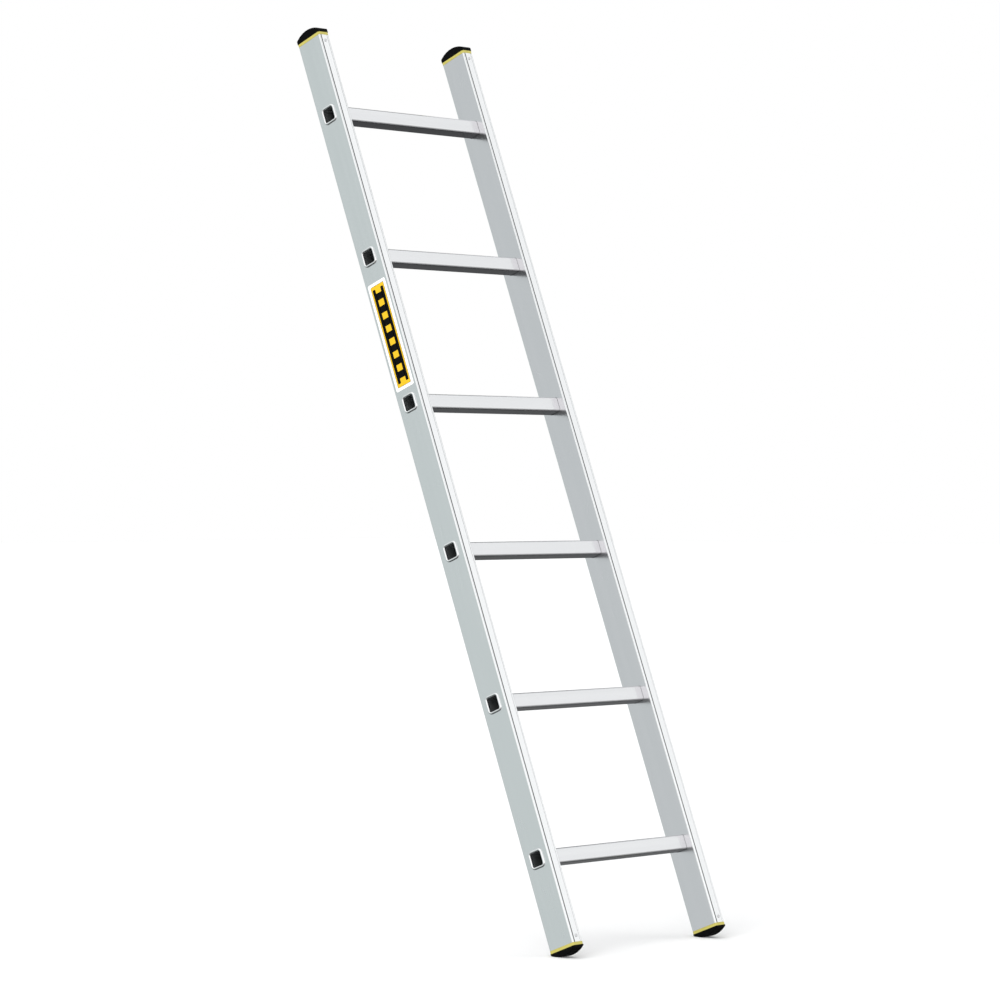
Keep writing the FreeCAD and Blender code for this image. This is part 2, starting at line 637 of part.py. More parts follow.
# ------------------------------------------------------------------ assembly
make_stile("stile_left", -1)
make_stile("stile_right", 1)
for number in range(1, int(dim["rung_count"]) + 1):
    make_rung(number)
for word, side in (("left", -1), ("right", 1)):
    make_plug("foot_plug_" + word, False, side)
    make_sole("foot_sole_" + word, False, side)
    make_rivet("foot_rivet_" + word, False, side)
    make_plug("top_plug_" + word, True, side)
    make_sole("top_cap_" + word, True, side)
    make_rivet("top_rivet_" + word, True, side)
make_label()
doc.recompute()

# -------------------------------------------------------------------- checks
problems = []
for obj in doc.Objects:
    if "Invalid" in obj.State or "Error" in obj.State:
        problems.append("%s is %s" % (obj.Name, obj.State))
for label, before, after in VOLUME_STEPS:
    if before.Shape.isNull() or after.Shape.isNull():
        problems.append(label + " has no shape")
    elif after.Shape.Volume >= before.Shape.Volume - 1e-3:
        problems.append(label + " removed nothing")
for obj in SUBPARTS:
    shape = obj.Shape
    if shape.isNull() or not shape.isValid() or not shape.Solids:
        problems.append(obj.Label + " has no valid solid")
if problems:
    raise RuntimeError("; ".join(problems))

os.makedirs("parts", exist_ok=True)
total = None
for obj in SUBPARTS:
    obj.Shape.exportStep(os.path.join("parts", obj.Label + ".step"))
    box = obj.Shape.BoundBox
    total = FreeCAD.BoundBox(box) if total is None else total.united(box)
    print("%-18s %8.1f mm3  %d solid  x %.1f..%.1f y %.1f..%.1f z %.1f..%.1f" % (
        obj.Label, obj.Shape.Volume, len(obj.Shape.Solids),
        box.XMin, box.XMax, box.YMin, box.YMax, box.ZMin, box.ZMax))
print("whole  x %.2f..%.2f  y %.2f..%.2f  z %.2f..%.2f" % (
    total.XMin, total.XMax, total.YMin, total.YMax, total.ZMin, total.ZMax))
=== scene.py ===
import bpy
import bmesh
import math
import numpy as np
from mathutils import Matrix, Vector


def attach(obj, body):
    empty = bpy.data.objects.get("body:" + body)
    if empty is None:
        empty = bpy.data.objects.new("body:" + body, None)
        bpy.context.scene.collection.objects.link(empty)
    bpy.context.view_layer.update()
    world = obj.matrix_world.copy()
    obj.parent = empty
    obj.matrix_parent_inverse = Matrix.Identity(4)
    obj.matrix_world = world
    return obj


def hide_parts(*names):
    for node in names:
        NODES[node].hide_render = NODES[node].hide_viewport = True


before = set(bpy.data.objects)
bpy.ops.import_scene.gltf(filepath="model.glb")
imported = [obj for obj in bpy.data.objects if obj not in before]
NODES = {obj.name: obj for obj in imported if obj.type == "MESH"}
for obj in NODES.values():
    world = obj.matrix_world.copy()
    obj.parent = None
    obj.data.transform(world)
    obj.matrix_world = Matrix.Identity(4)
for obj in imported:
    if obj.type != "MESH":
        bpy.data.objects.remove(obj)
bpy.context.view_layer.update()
scene = bpy.context.scene
scene.view_settings.view_transform = "Standard"
scene.view_settings.look = "None"

# ------------------------------------------------------------------ dimensions
# Millimetres, in the ladder frame: X along the rungs, Z up the stiles from
# their lower end, -Y the climber's side.
STILE_LONG = 1702.0
CENTRE = 188.0                      # middle of a stile from the ladder's middle
RUNGS = [155.0 + 280.0 * k for k in range(6)]
LEAN = math.radians(21.2)
CHORD, RISE, FOOT, SIDES = 29.3, 9.0, 16.2, 5.0     # SIDES: how much deeper a top cap is
DOME = (CHORD ** 2 + RISE ** 2) / (2 * RISE)
BASE = Vector((0, -(STILE_LONG + SIDES) / 2 * math.sin(LEAN), DOME - (DOME - FOOT) * math.cos(LEAN)))
LADDER = Matrix.Scale(0.001, 4) @ Matrix.Translation(BASE) @ Matrix.Rotation(-LEAN, 4, "X")


# -------------------------------------------------------------------- meshing
class Shell:
    """Collects faces by the coordinates of their corners, in ladder
    millimetres, and welds corners that coincide."""

    def __init__(self):
        self.points, self.faces, self.slots, self.seen = [], [], [], {}

    def vertex(self, p):
        key = (round(p[0] * 2000), round(p[1] * 2000), round(p[2] * 2000))
        if key not in self.seen:
            self.seen[key] = len(self.points)
            self.points.append(p)
        return self.seen[key]

    def face(self, corners, slot=0):
        ids = []
        for p in corners:
            i = self.vertex(p)
            if i not in ids:
                ids.append(i)
        if len(ids) > 2:
            self.faces.append(ids)
            self.slots.append(slot)

    def strip(self, a, b, closed=True, slot=0):
        n = len(a)
        for i in range(n if closed else n - 1):
            j = (i + 1) % n
            self.face((a[i], a[j], b[j], b[i]), slot)


def smooth_normals(me, angle):
    """Area-weighted corner normals within each smooth region, so that flats
    stay flat right up to their rounded edges."""
    limit = math.cos(math.radians(angle))
    nf, nl = len(me.polygons), len(me.loops)
    normals = np.empty(nf * 3)
    me.polygons.foreach_get("normal", normals)
    normals = normals.reshape(nf, 3)
    areas = np.empty(nf)
    me.polygons.foreach_get("area", areas)
    start = np.empty(nf, dtype=np.int64)
    total = np.empty(nf, dtype=np.int64)
    me.polygons.foreach_get("loop_start", start)
    me.polygons.foreach_get("loop_total", total)
    face_of = np.repeat(np.arange(nf), total)
    vert_of = np.empty(nl, dtype=np.int64)
    me.loops.foreach_get("vertex_index", vert_of)
    order = np.argsort(vert_of, kind="stable")
    cuts = np.flatnonzero(np.diff(vert_of[order])) + 1
    result = np.empty((nl, 3))
    for group in np.split(order, cuts):
        n = normals[face_of[group]]
        near = (n @ n.T) > limit
        result[group] = near @ (n * areas[face_of[group]][:, None])
    result /= np.linalg.norm(result, axis=1)[:, None]
    for p in me.polygons:
        p.use_smooth = True
    me.normals_split_custom_set([tuple(v) for v in result])


def solid(name, shell, materials, angle=36.0):
    me = bpy.data.meshes.new(name)
    me.from_pydata([tuple(LADDER @ Vector(p)) for p in shell.points], [], shell.faces)
    for m in materials:
        me.materials.append(m)
    me.polygons.foreach_set("material_index", shell.slots)
    bm = bmesh.new()
    bm.from_mesh(me)
    bmesh.ops.recalc_face_normals(bm, faces=bm.faces)
    bm.to_mesh(me)
    bm.free()
    me.update()
    smooth_normals(me, angle)
    obj = bpy.data.objects.new(name, me)
    scene.collection.objects.link(obj)
    return obj


# ------------------------------------------------------------------ node help
def tree(name):
    m = bpy.data.materials.new(name)
    m.use_nodes = True
    nt = m.node_tree
    nt.nodes.clear()
    return m, nt, nt.nodes.new("ShaderNodeOutputMaterial")


def add(nt, kind, **values):
    n = nt.nodes.new(kind)
    for k, v in values.items():
        setattr(n, k, v)
    return n


def feed(nt, value, socket):
    if isinstance(value, bpy.types.NodeSocket):
        nt.links.new(value, socket)
    elif isinstance(value, (tuple, list)) and len(value) == 3 and socket.type == "RGBA":
        socket.default_value = (*value, 1)
    else:
        socket.default_value = value


def ladder_coords(nt):
    """Object coordinates turned into the ladder's own axes: Z runs up the stiles."""
    tc = add(nt, "ShaderNodeTexCoord")
    mp = add(nt, "ShaderNodeMapping", vector_type="POINT")
    mp.inputs["Rotation"].default_value = (LEAN, 0, 0)
    feed(nt, tc.outputs["Object"], mp.inputs["Vector"])
    return mp.outputs["Vector"]


def mapped(nt, vec, scale=(1, 1, 1), turn=(0, 0, 0), shift=(0, 0, 0)):
    mp = add(nt, "ShaderNodeMapping", vector_type="POINT")
    mp.inputs["Scale"].default_value = scale
    mp.inputs["Rotation"].default_value = turn
    mp.inputs["Location"].default_value = shift
    feed(nt, vec, mp.inputs["Vector"])
    return mp.outputs["Vector"]


def noise(nt, vec, scale, detail=3.0, rough=0.55):
    n = add(nt, "ShaderNodeTexNoise")
    n.inputs["Scale"].default_value = scale
    n.inputs["Detail"].default_value = detail
    n.inputs["Roughness"].default_value = rough
    feed(nt, vec, n.inputs["Vector"])
    return n.outputs["Fac"]


def remap(nt, value, a, b, lo=0.0, hi=1.0):
    """value a..b becomes lo..hi, held at the ends."""
    r = add(nt, "ShaderNodeMapRange")
    for key, v in (("From Min", a), ("From Max", b), ("To Min", lo), ("To Max", hi)):
        r.inputs[key].default_value = v
    feed(nt, value, r.inputs["Value"])
    return r.outputs["Result"]


def calc(nt, op, a, b=0.0, c=None, clamp=False):
    n = add(nt, "ShaderNodeMath", operation=op, use_clamp=clamp)
    feed(nt, a, n.inputs[0])
    feed(nt, b, n.inputs[1])
    if c is not None:
        feed(nt, c, n.inputs[2])
    return n.outputs[0]


def blend(nt, fac, a, b, kind="MIX"):
    m = add(nt, "ShaderNodeMix", data_type="RGBA", blend_type=kind)
    feed(nt, fac, m.inputs[0])
    feed(nt, a, m.inputs[6])
    feed(nt, b, m.inputs[7])
    return m.outputs[2]


def bump(nt, height, distance, strength=1.0, normal=None):
    b = add(nt, "ShaderNodeBump")
    b.inputs["Distance"].default_value = distance
    b.inputs["Strength"].default_value = strength
    feed(nt, height, b.inputs["Height"])
    if normal is not None:
        feed(nt, normal, b.inputs["Normal"])
    return b.outputs["Normal"]


def hairlines(nt, vec, turn, scale, width, seed):
    """Broken hairline scratches: cell borders of a stretched pattern, kept
    only in patches."""
    v = mapped(nt, vec, (1, 1, 0.12), turn, (seed, 2.3 * seed, 0))
    vor = add(nt, "ShaderNodeTexVoronoi", feature="DISTANCE_TO_EDGE")
    vor.inputs["Scale"].default_value = scale
    feed(nt, v, vor.inputs["Vector"])
    line = remap(nt, vor.outputs["Distance"], 0.0, width, 1.0, 0.0)
    patch = remap(nt, noise(nt, mapped(nt, vec, shift=(0, seed, seed)), 24.0, 2.0), 0.56, 0.66)
    return calc(nt, "MULTIPLY", line, patch)


# ------------------------------------------------------------------ materials
def aluminium(name, along, bright, dull, rough):
    """Bright extruded aluminium. Die lines run the length of the extrusion,
    the sheen is slightly cloudy, and there are hairline handling scratches."""
    m, nt, out = tree(name)
    p = add(nt, "ShaderNodeBsdfPrincipled")
    p.inputs["Metallic"].default_value = 1.0
    co = ladder_coords(nt)
    run = {"X": (0.004, 1, 1), "Z": (1, 1, 0.004)}[along]
    drawn = mapped(nt, co, run)
    fine = noise(nt, drawn, 1300.0, 2.0, 0.6)
    lines = noise(nt, drawn, 330.0, 3.0, 0.6)
    bands = noise(nt, drawn, 70.0, 2.0, 0.5)
    cloud = noise(nt, mapped(nt, co, {"X": (0.5, 1, 1), "Z": (1, 1, 0.35)}[along]), 11.0, 4.0, 0.6)
    scratch = calc(nt, "MAXIMUM",
                   hairlines(nt, co, (0.5, 0.3, 0.9), 60.0, 0.010, 1.7),
                   hairlines(nt, co, (-0.7, 0.2, 0.4), 75.0, 0.008, 4.1))
    tone = calc(nt, "ADD", remap(nt, bands, 0.3, 0.7, 0.0, 0.6), remap(nt, cloud, 0.3, 0.7, 0.0, 0.4))
    feed(nt, blend(nt, tone, dull, bright), p.inputs["Base Color"])
    r = calc(nt, "ADD", remap(nt, lines, 0.3, 0.7, rough[0], rough[1]),
             remap(nt, cloud, 0.3, 0.7, -0.02, 0.05))
    r = calc(nt, "ADD", r, calc(nt, "MULTIPLY", scratch, 0.14))
    feed(nt, r, p.inputs["Roughness"])
    n1 = bump(nt, bands, 0.00012, 0.25)
    n2 = bump(nt, lines, 0.00002, 0.35, n1)
    n3 = bump(nt, fine, 0.000006, 0.4, n2)
    n4 = bump(nt, scratch, 0.00002, -0.5, n3)
    feed(nt, n4, p.inputs["Normal"])
    feed(nt, p.outputs[0], out.inputs["Surface"])
    return m


def rubber(name):
    m, nt, out = tree(name)
    p = add(nt, "ShaderNodeBsdfPrincipled")
    p.inputs["Specular IOR Level"].default_value = 0.055
    co = ladder_coords(nt)
    grain = noise(nt, co, 2400.0, 2.0, 0.6)
    pebble = noise(nt, co, 900.0, 2.0, 0.5)
    cloud = noise(nt, co, 55.0, 4.0, 0.6)
    dust = calc(nt, "MULTIPLY", remap(nt, noise(nt, co, 130.0, 5.0, 0.7), 0.50, 0.72),
                remap(nt, cloud, 0.4, 0.7))
    c = blend(nt, cloud, (0.0010, 0.0010, 0.0011), (0.0025, 0.0025, 0.0025))
    c = blend(nt, calc(nt, "MULTIPLY", dust, 0.16), c, (0.05, 0.048, 0.044))
    feed(nt, c, p.inputs["Base Color"])
    feed(nt, remap(nt, cloud, 0.3, 0.7, 0.50, 0.66), p.inputs["Roughness"])
    feed(nt, bump(nt, grain, 0.00005, 0.4, bump(nt, pebble, 0.00012, 0.35)), p.inputs["Normal"])
    feed(nt, p.outputs[0], out.inputs["Surface"])
    return m


def plastic(name, bright, dull, rough=(0.34, 0.46), grain_mm=0.00003, shine=0.5):
    m, nt, out = tree(name)
    p = add(nt, "ShaderNodeBsdfPrincipled")
    p.inputs["Specular IOR Level"].default_value = shine
    co = ladder_coords(nt)
    grain = noise(nt, co, 1700.0, 2.0, 0.6)
    cloud = noise(nt, co, 42.0, 4.0, 0.6)
    rub = hairlines(nt, co, (0.4, -0.6, 0.2), 120.0, 0.012, 2.9)
    c = blend(nt, remap(nt, cloud, 0.3, 0.7), dull, bright)
    c = blend(nt, calc(nt, "MULTIPLY", rub, 0.3), c, tuple(min(1, v * 1.15 + 0.03) for v in bright))
    feed(nt, c, p.inputs["Base Color"])
    feed(nt, calc(nt, "ADD", remap(nt, cloud, 0.3, 0.7, *rough), calc(nt, "MULTIPLY", rub, 0.1)),
         p.inputs["Roughness"])
    feed(nt, bump(nt, grain, grain_mm, 0.4), p.inputs["Normal"])
    feed(nt, p.outputs[0], out.inputs["Surface"])
    return m


STILE = aluminium("stile_aluminium_look", "Z", (0.86, 0.872, 0.878), (0.82, 0.835, 0.84), (0.15, 0.22))
# Painted shade: a darker, cooler copy of the stile aluminium for the faces turned towards the other stile.
STILE_INNER_SHADE = aluminium("stile_inner_painted_shade", "Z", (0.824, 0.802, 0.825), (0.785, 0.768, 0.79), (0.15, 0.22))
RUNG = aluminium("rung_aluminium_look", "X", (0.765, 0.775, 0.785), (0.725, 0.735, 0.745), (0.15, 0.22))
# Painted shade: a near-black copy of the rung aluminium for the undersides of the rungs.
UNDERSIDE_SHADE = aluminium("rung_underside_look", "X", (0.185, 0.188, 0.195), (0.17, 0.173, 0.18), (0.17, 0.24))
# Painted highlight: a brighter copy of the rung aluminium so that the rolled rims read whiter.
RIM_HIGHLIGHT = aluminium("rung_rim_look", "X", (0.93, 0.935, 0.94), (0.90, 0.905, 0.91), (0.14, 0.20))
# Painted shade: a dark, rough copy of the aluminium inside the bore, standing in for the shade down the hollow
# tube.
BORE_SHADE = aluminium("rung_bore_look", "X", (0.46, 0.485, 0.49), (0.42, 0.445, 0.45), (0.50, 0.60))
# Painted shade: a near-black copy of the stile aluminium for the bottoms of the slots, where they lie in shade.
SLOT_SHADE = aluminium("stile_slot_painted_shade", "Z", (0.20, 0.205, 0.21), (0.12, 0.122, 0.125), (0.45, 0.60))
RIVET = aluminium("rivet_aluminium_look", "X", (0.74, 0.75, 0.76), (0.68, 0.69, 0.70), (0.24, 0.32))
BLACK = rubber("sole_rubber_look")
YELLOW = plastic("end_plug_look", (0.525, 0.465, 0.113), (0.49, 0.435, 0.100), shine=0.3)
FILM = plastic("label_white_look", (0.96, 0.955, 0.94), (0.94, 0.935, 0.92), (0.22, 0.30), 0.00001, 0.3)
AMBER = plastic("label_amber_look", (0.78, 0.495, 0.019), (0.745, 0.47, 0.016), (0.22, 0.30), 0.00001, 0.15)
INK = plastic("label_ink_look", (0.002, 0.002, 0.0025), (0.0035, 0.0035, 0.0035), (0.22, 0.30), 0.00001, 0.06)

for node, obj in NODES.items():
    look = RIVET if "rivet" in node else YELLOW if "plug" in node else \
        BLACK if ("sole" in node or "cap" in node) else STILE
    for s in obj.material_slots:
        s.material = look


# --------------------------------------------------------------------- stiles
# The slot strips listed here take the painted-shade slot copy.
SLOT_SHADE_FACES = set()                  # strips of the section that lie deep in a slot


def half_section():
    """Outer and inner points of half the stile's section: one side, one
    corner and the end face with its two slots."""
    pts = []
    for i in range(9):
        y = -26 + 6.5 * i
        pts.append(((12.0, y), (10.4, y)))
    for i in range(1, 9):
        a = math.radians(90 * i / 8)
        pts.append(((9 + 3 * math.cos(a), 26 + 3 * math.sin(a)),
                    (9 + 1.4 * math.cos(a), 26 + 1.4 * math.sin(a))))
    # A slot beside each corner, cut aslant towards the middle of the face:
    # distance towards the middle from the slot's centre, and depth.
    slot = [(-1.30, 0.0), (-1.17, 0.03), (-1.07, 0.11), (-1.00, 0.20), (-0.72, 0.48), (-0.45, 0.75),
            (-0.30, 0.87), (-0.10, 0.93), (0.45, 0.95), (1.00, 0.95), (1.35, 0.93), (1.52, 0.85),
            (1.58, 0.72), (1.50, 0.58), (1.26, 0.34), (1.16, 0.20), (1.18, 0.09), (1.26, 0.02), (1.38, 0.0)]
    n = len(slot) - 1
    edge = [((7.8 - u, 29.0 - t), (9.1 - 2.68 * i / n, 27.4)) for i, (u, t) in enumerate(slot)]
    mid = [((x, 29.0), (x, 27.4)) for x in (4.5, 2.25, 0.0, -2.25, -4.5)]
    for i in range(6, 14):
        SLOT_SHADE_FACES.add(len(pts) + i)
        SLOT_SHADE_FACES.add(len(pts) + len(edge) + len(mid) + n - 1 - i)
    pts += edge + mid + [((-o[0], o[1]), (-i[0], i[1])) for o, i in reversed(edge)]
    pts.append(((-9.0, 29.0), (-9.0, 27.4)))
    for i in range(1, 8):
        a = math.radians(90 + 90 * i / 8)
        pts.append(((-9 + 3 * math.cos(a), 26 + 3 * math.sin(a)),
                    (-9 + 1.4 * math.cos(a), 26 + 1.4 * math.sin(a))))
    return pts


HALF = half_section()
SECTION = HALF + [((-a[0], -a[1]), (-b[0], -b[1])) for a, b in HALF]


def hole_ring(h, r):
    """Thirty-two points round a rounded square, from its lower left corner."""
    ring = []
    for quarter in range(4):
        turn = math.radians(90 * quarter)
        c, s = math.cos(turn), math.sin(turn)
        side = [(-(h - r) + r * math.cos(math.radians(a)), -(h - r) + r * math.sin(math.radians(a)))
                for a in (225, 240, 255, 270)]
        side.append((0.0, -h))
        side += [((h - r) + r * math.cos(math.radians(a)), -(h - r) + r * math.sin(math.radians(a)))
                 for a in (270, 285, 300)]
        ring += [(x * c - y * s, x * s + y * c) for x, y in side]
    return ring


def square_ring(h):
    ring = []
    for quarter in range(4):
        turn = math.radians(90 * quarter)
        c, s = round(math.cos(turn)), round(math.sin(turn))
        ring += [(x * c - y * s, x * s + y * c) for x, y in
                 [(-h + h / 4 * i, -h) for i in range(8)]]
    return ring


def stile(name, centre):
    sh = Shell()
    zone = set()
    stations = [0.0, 0.12, 20.0]
    last = 20.0
    for zc in RUNGS:
        lo = zc - 26
        steps = max(1, round((lo - last) / 40))
        stations += [last + (lo - last) * (i + 1) / steps for i in range(steps)]
        for i in range(8):
            zone.add(len(stations) - 1)
            stations.append(lo + 6.5 * (i + 1))
        last = stations[-1]
    top = STILE_LONG - 20
    steps = round((top - last) / 40)
    stations += [last + (top - last) * (i + 1) / steps for i in range(steps)]
    stations += [STILE_LONG - 0.12, STILE_LONG]
    n = len(SECTION)
    half = n // 2
    for j in range(len(stations) - 1):
        z0, z1 = stations[j], stations[j + 1]
        for i in range(n):
            if j in zone and (i % half) < 8:
                continue
            (a, ai), (b, bi) = SECTION[i], SECTION[(i + 1) % n]

            def at(p, inner, z):
                if z in (0.0, STILE_LONG):          # the sawn ends are deburred
                    p = (p[0] + 0.075 * (inner[0] - p[0]), p[1] + 0.075 * (inner[1] - p[1]))
                return (centre + p[0], p[1], z)
            # Slot strips take the painted-shade slot copy (slot 1).
            look = 1 if (i % half) in SLOT_SHADE_FACES else 0
            # Faces turned towards the other stile take the painted-shade inner copy (slot 2).
            if (i % half) < 8 and (i < half) == (centre < 0):
                look = 2
            sh.face((at(a, ai, z0), at(b, bi, z0), at(b, bi, z1), at(a, ai, z1)), look)
            sh.face([(centre + q[0], q[1], z) for q, z in ((ai, z0), (bi, z0), (bi, z1), (ai, z1))])
            if j == 0:
                sh.face((at(a, ai, z0), at(b, bi, z0), (centre + bi[0], bi[1], z0), (centre + ai[0], ai[1], z0)))
            if j == len(stations) - 2:
                sh.face((at(a, ai, z1), at(b, bi, z1), (centre + bi[0], bi[1], z1), (centre + ai[0], ai[1], z1)))
    for zc in RUNGS:
        for side in (-1, 1):
            rings = []
            outer, mouth = square_ring(26.0), hole_ring(13.96, 4.96)
            for t in (0.0, 0.45, 0.8, 1.0):
                rings.append([(centre + side * 12.0, o[0] + t * (m[0] - o[0]), zc + o[1] + t * (m[1] - o[1]))
                              for o, m in zip(outer, mouth)])
            bore = hole_ring(13.82, 4.82)
            rings.append([(centre + side * 11.88, p[0], zc + p[1]) for p in bore])
            rings.append([(centre + side * 10.52, p[0], zc + p[1]) for p in bore])
            for t in (1.0, 0.8, 0.45, 0.0):
                rings.append([(centre + side * 10.4, o[0] + t * (m[0] - o[0]), zc + o[1] + t * (m[1] - o[1]))
                              for o, m in zip(outer, mouth)])
            for a, b in zip(rings, rings[1:]):
                # On the side towards the other stile, the patch round the hole takes the painted-shade inner
                # copy.
                sh.strip(a, b, slot=2 if side * centre < 0 else 0)
    return solid(name, sh, [STILE, SLOT_SHADE, STILE_INNER_SHADE])


# ---------------------------------------------------------------------- rungs
def rung_points(h, r, treads):
    """Points round a rounded square of half side h, the top face (+Z) with
    its five fine grooves; the count never changes."""
    flat = h - r
    pts = []

    def arc(cy, cz, a0):
        for i in range(1, 8):
            a = math.radians(a0 + 90 * i / 8)
            pts.append((cy * flat + r * math.cos(a), cz * flat + r * math.sin(a)))
    pts += [(h, flat * t) for t in (-1, -0.5, 0, 0.5, 1)]
    arc(1, 1, 0)
    groove = [(0.74, 0.0), (0.665, -0.03), (0.615, -0.1), (0.6, -0.22), (0.585, -0.36),
              (0.5, -0.46), (0.34, -0.5)]
    groove += [(0.0, -0.5)] + [(-x, z) for x, z in reversed(groove)]
    pts.append((flat, h))
    for c in (8.0, 4.0, 0.0, -4.0, -8.0):
        for x, z in groove:
            if treads:
                pts.append((c + x, h + z))
            else:
                pts.append(((c + x) * flat / 9.0, h))
    pts.append((-flat, h))
    arc(-1, 1, 90)
    pts += [(-h, -flat * t) for t in (-1, -0.5, 0, 0.5, 1)]
    arc(-1, -1, 180)
    pts += [(flat * t, -h) for t in (-1, -0.5, 0, 0.5, 1)]
    arc(1, -1, 270)
    return pts


def rim_profile():
    """Half side and stand-off of the rolled end, from under the rim, over its
    edge and crown, and down the mouth into the bore."""
    prof = [(13.6, 0.04), (15.6, 0.04), (15.95, 0.06), (16.22, 0.14), (16.40, 0.26)]
    for i in range(11):
        a = math.radians(9 * i)
        prof.append((14.3 + 2.17 * math.cos(a), 0.36 + 2.04 * math.sin(a)))
    for i in range(1, 11):
        a = math.radians(90 + 9 * i)
        prof.append((14.3 + 2.3 * math.cos(a), 0.1 + 2.3 * math.sin(a)))
    return prof


def rung(number, zc):
    sh = Shell()
    prof = rim_profile()

    def ring(x, h, r, treads, wave=0.0, seed=0.0):
        out = []
        for y, z in rung_points(h, r, treads):
            if wave:
                a = math.atan2(z, y)
                k = 1 + wave * (0.5 * math.sin(3 * a + seed) + 0.5 * math.sin(5 * a + 2.1 * seed)) / 15.5
                y, z = y * k, z * k
            out.append((x, y, zc + z))
        return out
    rings = [ring(x, 13.5, 4.5, True) for x in
             (-199.96, -176.0, -150.0, -120.0, -80.0, -40.0, 0.0, 40.0, 80.0, 120.0, 150.0, 176.0, 199.96)]

    def rolled(side):
        made = []
        for h, e in prof:
            lift = max(0.0, min(1.0, (e + 0.4) / 1.2))
            made.append(ring(side * (200 + e), h, 3.0 + 1.25 * (h - 12.0), False,
                             -0.09 * lift, number * 1.37 + side * 0.8))
        return made
    right, left = rolled(1), rolled(-1)
    rings += right
    rings += [ring(x, 12.0, 3.0, False) for x in
              (198.6, 190.0, 170.0, 120.0, 60.0, 0.0, -60.0, -120.0, -170.0, -190.0, -198.6)]
    rings += list(reversed(left))
    deep = 13 + len(prof)
    for i, (a, b) in enumerate(zip(rings, rings[1:] + rings[:1])):
        # The rolled ends take the painted-highlight rim copy (slot 2).
        rolled_end = 13 <= i < deep - 1 or i >= deep + 11
        # Rings inside the tube take the painted-shade bore copy (slot 1).
        look = 1 if deep <= i < deep + 10 else 2 if rolled_end else 0
        for j in range(len(a)):
            k = (j + 1) % len(a)
            # Faces on the tube's underside between the stiles take the painted-shade underside copy (slot 3).
            under = i < 12 and max(a[j][2], a[k][2]) < zc - 13.0
            sh.face((a[j], a[k], b[k], b[j]), 3 if under else look)
    return solid("rung_tube_%d" % number, sh, [RUNG, BORE_SHADE, RIM_HIGHLIGHT, UNDERSIDE_SHADE])


# ---------------------------------------------------------------------- label
def plate(sh, x_out, x_in, w, h, r, cy, cz, slot, edge=0.0, turn=0.0):
    """A rounded rectangle standing off the stile's outer face."""
    def ring(x, grow):
        pts = []
        for qx, qy, a0 in ((1, -1, 270), (1, 1, 0), (-1, 1, 90), (-1, -1, 180)):
            for i in range(7):
                a = math.radians(a0 + 15 * i)
                rr = max(r + grow, 0.02)
                pts.append((qx * (w / 2 - r) + rr * math.cos(a), qy * (h / 2 - r) + rr * math.sin(a)))
        c, s = math.cos(turn), math.sin(turn)
        return [(x, cy + p * c - q * s, cz + p * s + q * c) for p, q in pts]
    rings = [ring(x_in, 0.0), ring(x_out + edge * (1 if x_in > x_out else -1), 0.0), ring(x_out, -edge)]
    for a, b in zip(rings, rings[1:]):
        sh.strip(a, b, slot=slot)
    for loop in (rings[0], rings[-1]):
        sh.face(loop, slot)


def label():
    """Printed film: white ground, amber panel, and a plain ladder pictogram."""
    sh = Shell()
    face, mid = -200.0, 1125.0
    plate(sh, face - 0.25, face - 0.01, 45.0, 204.0, 3.0, 0, mid, 0, 0.08)
    plate(sh, face - 0.270, face - 0.2, 34.0, 193.0, 2.0, 0, mid, 2)
    plate(sh, face - 0.285, face - 0.2, 32.6, 191.6, 1.4, 0, mid, 1)
    for y in (-10.2, 10.2):
        plate(sh, face - 0.300, face - 0.2, 7.0, 180.0, 1.6, y, mid, 2)
    for k in range(7):
        plate(sh, face - 0.300, face - 0.2, 16.0, 13.0, 0.6, 0, mid + 25.0 * (k - 3), 2)
    return solid("printed_label", sh, [FILM, AMBER, INK])


pieces = []
for word, side in (("left", -1), ("right", 1)):
    obj = stile("stile_profile_" + word, side * CENTRE)
    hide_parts("stile_" + word)
    pieces.append(obj)
for k, zc in enumerate(RUNGS, start=1):
    obj = rung(k, zc)
    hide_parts("rung_%d" % k)
    pieces.append(obj)
obj = label()
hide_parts("side_label")
pieces.append(obj)
for obj in pieces:
    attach(obj, "root")

# ---------------------------------------------------------------------- stage
floor_mesh = bpy.data.meshes.new("floor")
bm = bmesh.new()
bmesh.ops.create_grid(bm, x_segments=1, y_segments=1, size=40)
bm.to_mesh(floor_mesh)
bm.free()
floor = bpy.data.objects.new("floor", floor_mesh)
scene.collection.objects.link(floor)
m, nt, out = tree("floor_look")
d = add(nt, "ShaderNodeBsdfDiffuse")
d.inputs["Color"].default_value = (0.86, 0.86, 0.86, 1)
glow = add(nt, "ShaderNodeEmission")
glow.inputs["Color"].default_value = (1, 1, 1, 1)
glow.inputs["Strength"].default_value = 0.05
both = add(nt, "ShaderNodeAddShader")
feed(nt, d.outputs[0], both.inputs[0])
feed(nt, glow.outputs[0], both.inputs[1])
feed(nt, both.outputs[0], out.inputs["Surface"])
floor.data.materials.append(m)
floor.visible_glossy = False

# ---------------------------------------------------------------------- light
world = bpy.data.worlds.new("studio")
scene.world = world
world.use_nodes = True
nt = world.node_tree
nt.nodes.clear()
wout = add(nt, "ShaderNodeOutputWorld")
tc = add(nt, "ShaderNodeTexCoord")
sep = add(nt, "ShaderNodeSeparateXYZ")
feed(nt, tc.outputs["Generated"], sep.inputs[0])
